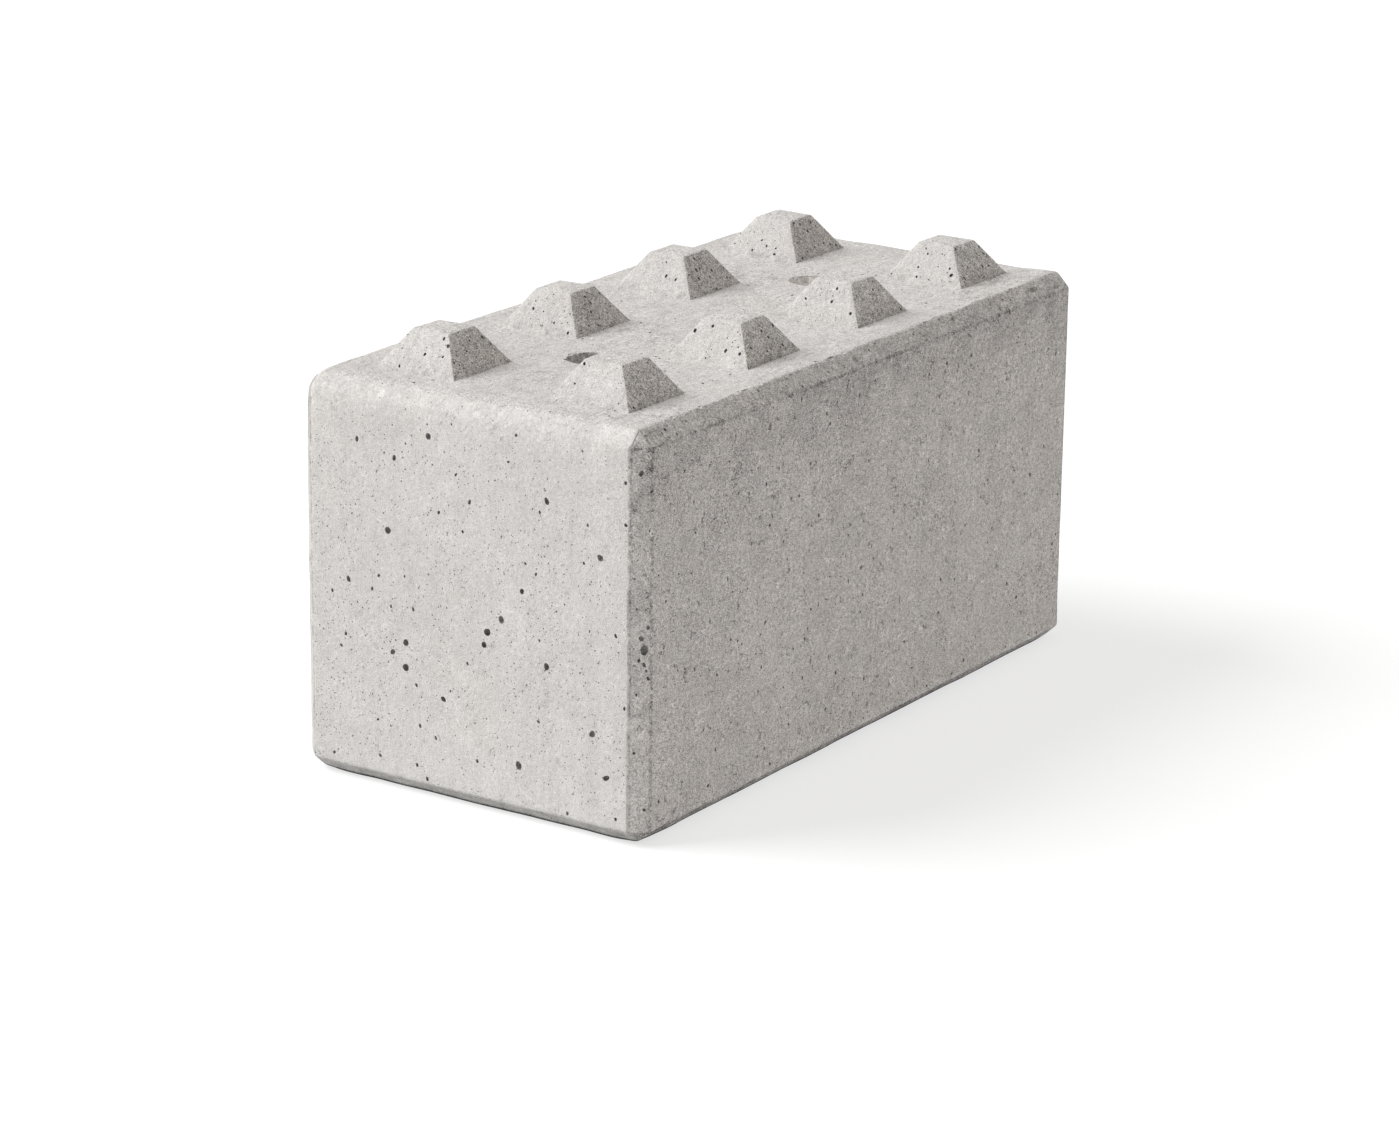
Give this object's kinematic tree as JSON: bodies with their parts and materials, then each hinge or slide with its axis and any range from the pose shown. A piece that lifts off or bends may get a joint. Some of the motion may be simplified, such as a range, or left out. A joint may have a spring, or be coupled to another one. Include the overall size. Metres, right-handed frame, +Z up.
{
  "type": "interlocking concrete barrier block",
  "caption": "Rectangular precast concrete barrier block with chamfered edges, pyramid studs on top, matching pockets below and cast-in lifting anchors",
  "frame": {"origin": "centre of the flat base the block stands on", "axes": "+X along the length, +Y across the width, +Z up towards the studs"},
  "size_m": [1.6, 0.8, 0.874],
  "materials": {
    "concrete": "as-cast grey concrete with bug holes, rough",
    "galvanised_steel": "dull hot-dip galvanised",
    "bar_steel": "ribbed bar with mill scale and light rust",
    "mortar": "pressed fibre mortar, matte"
  },
  "bodies": {
    "root": {"concrete_block": "concrete", "lifting_anchor_left": "galvanised_steel", "lifting_anchor_right": "galvanised_steel", "link_1": "bar_steel", "link_2": "bar_steel", "link_3": "bar_steel", "link_4": "bar_steel", "link_5": "bar_steel", "link_6": "bar_steel", "link_7": "bar_steel", "link_8": "bar_steel", "bottom_bar_1": "bar_steel", "bottom_bar_2": "bar_steel", "bottom_bar_3": "bar_steel", "bottom_bar_4": "bar_steel", "top_bar_1": "bar_steel", "top_bar_2": "bar_steel", "top_bar_3": "bar_steel", "top_bar_4": "bar_steel", "side_bar_front": "bar_steel", "side_bar_back": "bar_steel", "spacer_1": "mortar", "spacer_2": "mortar", "spacer_3": "mortar", "spacer_4": "mortar"}
  },
  "joints": []
}
